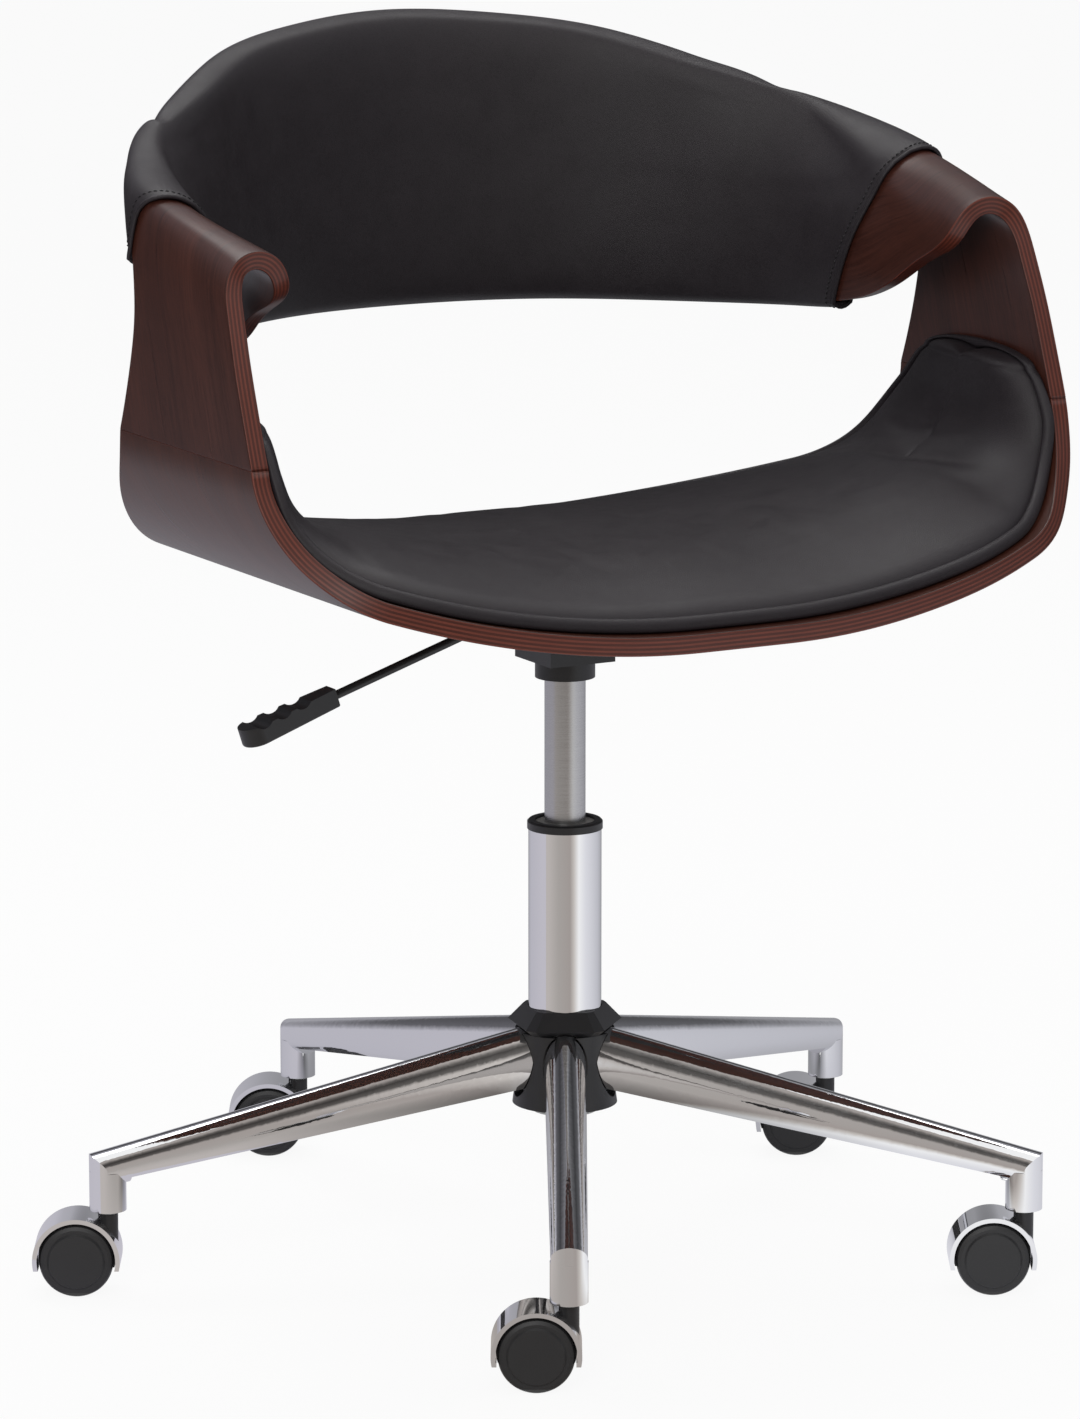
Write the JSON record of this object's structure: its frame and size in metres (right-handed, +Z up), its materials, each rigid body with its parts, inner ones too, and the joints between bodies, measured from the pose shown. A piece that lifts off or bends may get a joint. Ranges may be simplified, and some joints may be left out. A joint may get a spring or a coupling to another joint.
{
  "type": "office chair",
  "caption": "Swivel office chair with a bentwood seat shell, folded arm ribbon, padded leather seat and back, gas lift, height lever and star base on twin-wheel casters.",
  "frame": {"origin": "on the floor, on the axis of the column", "axes": "+Z up; the sitter faces -Y; +X is to the left of the sitter, the side away from the lever"},
  "size_m": [0.6825, 0.6676, 0.8331],
  "materials": {
    "chrome": "polished chrome plate",
    "steel": "satin ground steel",
    "bright_steel": "machined steel",
    "zinc_steel": "zinc plated steel",
    "black_metal": "satin black powder coat",
    "black_plastic": "satin black moulded plastic",
    "grey_plastic": "natural moulded plastic",
    "pale_plastic": "pale moulded plastic",
    "stop_rubber": "soft black rubber",
    "walnut_ply": "dark stained veneer, satin lacquer",
    "black_leather": "black fine grain leather"
  },
  "bodies": {
    "base": {"leg_1": "chrome", "leg_2": "chrome", "leg_3": "chrome", "leg_4": "chrome", "leg_5": "chrome", "caster_sleeves": "pale_plastic", "hub_core": "zinc_steel", "hub_cover": "black_plastic", "hub_bottom_cap": "pale_plastic", "column_tube": "chrome", "column_ring": "black_plastic", "guide_bush": "grey_plastic", "thrust_bearing": "bright_steel"},
    "lift_rod": {"piston_rod": "bright_steel", "bearing_washer": "bright_steel", "bump_stop": "stop_rubber", "piston": "bright_steel", "rod_clip": "bright_steel"},
    "seat": {"lift_cylinder": "steel", "cylinder_seal": "bright_steel", "mechanism_housing": "black_metal", "mount_plate": "black_metal", "plate_bolts": "zinc_steel", "tee_nuts": "bright_steel", "lever_pin": "bright_steel", "seat_shell": "walnut_ply", "arm_right": "walnut_ply", "arm_left": "walnut_ply", "back_board": "walnut_ply", "back_cushion": "black_leather", "seat_cushion": "black_leather"},
    "lever": {"lever_rod": "black_metal", "lever_grip": "black_plastic"},
    "valve": {"valve_button": "black_plastic"},
    "caster_1": {"caster_1_fork": "black_plastic", "caster_1_hood": "chrome", "caster_1_pins": "zinc_steel"},
    "caster_1_roller_a": {"caster_1_wheel_a": "black_plastic"},
    "caster_1_roller_b": {"caster_1_wheel_b": "black_plastic"},
    "caster_2": {"caster_2_fork": "black_plastic", "caster_2_hood": "chrome", "caster_2_pins": "zinc_steel"},
    "caster_2_roller_a": {"caster_2_wheel_a": "black_plastic"},
    "caster_2_roller_b": {"caster_2_wheel_b": "black_plastic"},
    "caster_3": {"caster_3_fork": "black_plastic", "caster_3_hood": "chrome", "caster_3_pins": "zinc_steel"},
    "caster_3_roller_a": {"caster_3_wheel_a": "black_plastic"},
    "caster_3_roller_b": {"caster_3_wheel_b": "black_plastic"},
    "caster_4": {"caster_4_fork": "black_plastic", "caster_4_hood": "chrome", "caster_4_pins": "zinc_steel"},
    "caster_4_roller_a": {"caster_4_wheel_a": "black_plastic"},
    "caster_4_roller_b": {"caster_4_wheel_b": "black_plastic"},
    "caster_5": {"caster_5_fork": "black_plastic", "caster_5_hood": "chrome", "caster_5_pins": "zinc_steel"},
    "caster_5_roller_a": {"caster_5_wheel_a": "black_plastic"},
    "caster_5_roller_b": {"caster_5_wheel_b": "black_plastic"}
  },
  "joints": [
    {"name": "seat_swivel", "type": "hinge", "parent": "base", "child": "lift_rod", "pos_m": [0, 0, 0.11], "axis": [0, 0, 1], "continuous": true},
    {"name": "seat_height", "type": "slide", "parent": "lift_rod", "child": "seat", "axis": [0, 0, 1], "range_m": [-0.09, 0]},
    {"name": "lever_lift", "type": "hinge", "parent": "seat", "child": "lever", "pos_m": [-0.015, 0, 0.446], "axis": [0, 1, 0], "range_deg": [0, 8], "stiffness_Nm_per_rad": 4, "springref_deg": -8.59},
    {"name": "valve_press", "type": "slide", "parent": "seat", "child": "valve", "axis": [0, 0, -1], "range_m": [0, 0.0025]},
    {"name": "caster_1_swivel", "type": "hinge", "parent": "base", "child": "caster_1", "pos_m": [-0.15588, -0.28472, 0.06], "axis": [0, 0, 1], "continuous": true},
    {"name": "caster_1_roll_a", "type": "hinge", "parent": "caster_1", "child": "caster_1_roller_a", "pos_m": [-0.17425, -0.27454, 0.025], "axis": [-0.4848, -0.8746, 0], "continuous": true},
    {"name": "caster_1_roll_b", "type": "hinge", "parent": "caster_1", "child": "caster_1_roller_b", "pos_m": [-0.17425, -0.27454, 0.025], "axis": [-0.4848, -0.8746, 0], "continuous": true},
    {"name": "caster_2_swivel", "type": "hinge", "parent": "base", "child": "caster_2", "pos_m": [0.22262, -0.23624, 0.06], "axis": [0, 0, 1], "continuous": true},
    {"name": "caster_2_roll_a", "type": "hinge", "parent": "caster_2", "child": "caster_2_roller_a", "pos_m": [0.20425, -0.22605, 0.025], "axis": [-0.4848, -0.8746, 0], "continuous": true},
    {"name": "caster_2_roll_b", "type": "hinge", "parent": "caster_2", "child": "caster_2_roller_b", "pos_m": [0.20425, -0.22605, 0.025], "axis": [-0.4848, -0.8746, 0], "continuous": true},
    {"name": "caster_3_swivel", "type": "hinge", "parent": "base", "child": "caster_3", "pos_m": [0.29346, 0.13872, 0.06], "axis": [0, 0, 1], "continuous": true},
    {"name": "caster_3_roll_a", "type": "hinge", "parent": "caster_3", "child": "caster_3_roller_a", "pos_m": [0.2751, 0.1489, 0.025], "axis": [-0.4848, -0.8746, 0], "continuous": true},
    {"name": "caster_3_roll_b", "type": "hinge", "parent": "caster_3", "child": "caster_3_roller_b", "pos_m": [0.2751, 0.1489, 0.025], "axis": [-0.4848, -0.8746, 0], "continuous": true},
    {"name": "caster_4_swivel", "type": "hinge", "parent": "base", "child": "caster_4", "pos_m": [-0.04124, 0.32197, 0.06], "axis": [0, 0, 1], "continuous": true},
    {"name": "caster_4_roll_a", "type": "hinge", "parent": "caster_4", "child": "caster_4_roller_a", "pos_m": [-0.05961, 0.33215, 0.025], "axis": [-0.4848, -0.8746, 0], "continuous": true},
    {"name": "caster_4_roll_b", "type": "hinge", "parent": "caster_4", "child": "caster_4_roller_b", "pos_m": [-0.05961, 0.33215, 0.025], "axis": [-0.4848, -0.8746, 0], "continuous": true},
    {"name": "caster_5_swivel", "type": "hinge", "parent": "base", "child": "caster_5", "pos_m": [-0.31896, 0.06027, 0.06], "axis": [0, 0, 1], "continuous": true},
    {"name": "caster_5_roll_a", "type": "hinge", "parent": "caster_5", "child": "caster_5_roller_a", "pos_m": [-0.33732, 0.07045, 0.025], "axis": [-0.4848, -0.8746, 0], "continuous": true},
    {"name": "caster_5_roll_b", "type": "hinge", "parent": "caster_5", "child": "caster_5_roller_b", "pos_m": [-0.33732, 0.07045, 0.025], "axis": [-0.4848, -0.8746, 0], "continuous": true}
  ],
  "couplings": [
    {"joint": "valve_press", "follows": "lever_lift", "m_per_rad": 0.0174}
  ]
}
